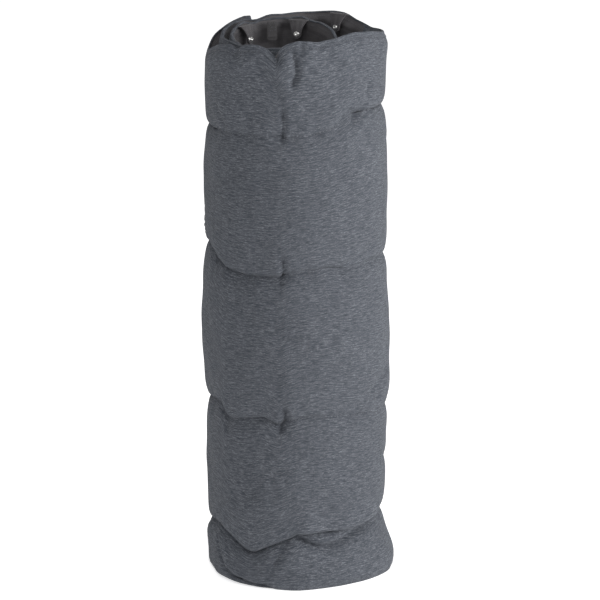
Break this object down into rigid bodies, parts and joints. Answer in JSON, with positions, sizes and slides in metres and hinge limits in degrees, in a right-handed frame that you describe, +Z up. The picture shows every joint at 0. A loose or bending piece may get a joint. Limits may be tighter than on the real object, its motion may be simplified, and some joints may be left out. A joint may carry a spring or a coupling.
{
  "type": "rolled camp quilt",
  "caption": "Padded camp quilt rolled up and stood on end, with sewn channels, a loose end flap, snap tabs and a hanger tape.",
  "frame": {"origin": "on the ground under the middle of the roll", "axes": "+Z up along the roll, -Y towards the smooth front of the last turn, +X to the right seen from the front"},
  "size_m": [0.2254, 0.2152, 0.7077],
  "materials": {
    "shell_fabric": "heathered brushed polyester, matte",
    "lining_fabric": "plain weave polyester, slight sheen",
    "batting": "loose synthetic fibre",
    "thread": "twisted polyester thread through both fabrics",
    "webbing": "folded woven tape, matte",
    "nickel": "bright nickel plate"
  },
  "bodies": {
    "roll": {"hanger_tape": "webbing", "roll_bottom_hem": "thread", "roll_end_seam": "thread", "roll_filling_1": "batting", "roll_filling_2": "batting", "roll_filling_3": "batting", "roll_filling_4": "batting", "roll_filling_5": "batting", "roll_lining": "lining_fabric", "roll_quilting_1": "thread", "roll_quilting_2": "thread", "roll_quilting_3": "thread", "roll_quilting_4": "thread", "roll_shell": "shell_fabric", "roll_top_hem": "thread"},
    "end_flap": {"flap_bottom_hem": "thread", "flap_end_seam": "thread", "flap_filling_1": "batting", "flap_filling_2": "batting", "flap_filling_3": "batting", "flap_filling_4": "batting", "flap_filling_5": "batting", "flap_lining": "lining_fabric", "flap_quilting_1": "thread", "flap_quilting_2": "thread", "flap_quilting_3": "thread", "flap_quilting_4": "thread", "flap_shell": "shell_fabric", "flap_top_hem": "thread"},
    "snap_1": {"snap_tab_1": "webbing", "snap_stud_1": "nickel", "snap_backing_1": "nickel"},
    "snap_2": {"snap_tab_2": "webbing", "snap_stud_2": "nickel", "snap_backing_2": "nickel"},
    "snap_3": {"snap_tab_3": "webbing", "snap_stud_3": "nickel", "snap_backing_3": "nickel"}
  },
  "joints": [
    {"name": "end_flap_hinge", "type": "hinge", "parent": "roll", "child": "end_flap", "pos_m": [-0.11062, 0.02696, 0], "axis": [0, 0, 1], "range_deg": [0, 75]},
    {"name": "snap_tab_1_hinge", "type": "hinge", "parent": "roll", "child": "snap_1", "pos_m": [-0.0601, 0.03753, 0.69422], "axis": [-0.5676, -0.8233, 0], "range_deg": [-5, 100]},
    {"name": "snap_tab_2_hinge", "type": "hinge", "parent": "roll", "child": "snap_2", "pos_m": [0.00349, 0.05865, 0.69778], "axis": [-0.9511, 0.309, 0], "range_deg": [-5, 100]},
    {"name": "snap_tab_3_hinge", "type": "hinge", "parent": "roll", "child": "snap_3", "pos_m": [0.05392, 0.07955, 0.70262], "axis": [-0.8284, 0.5601, 0], "range_deg": [-5, 100]}
  ]
}
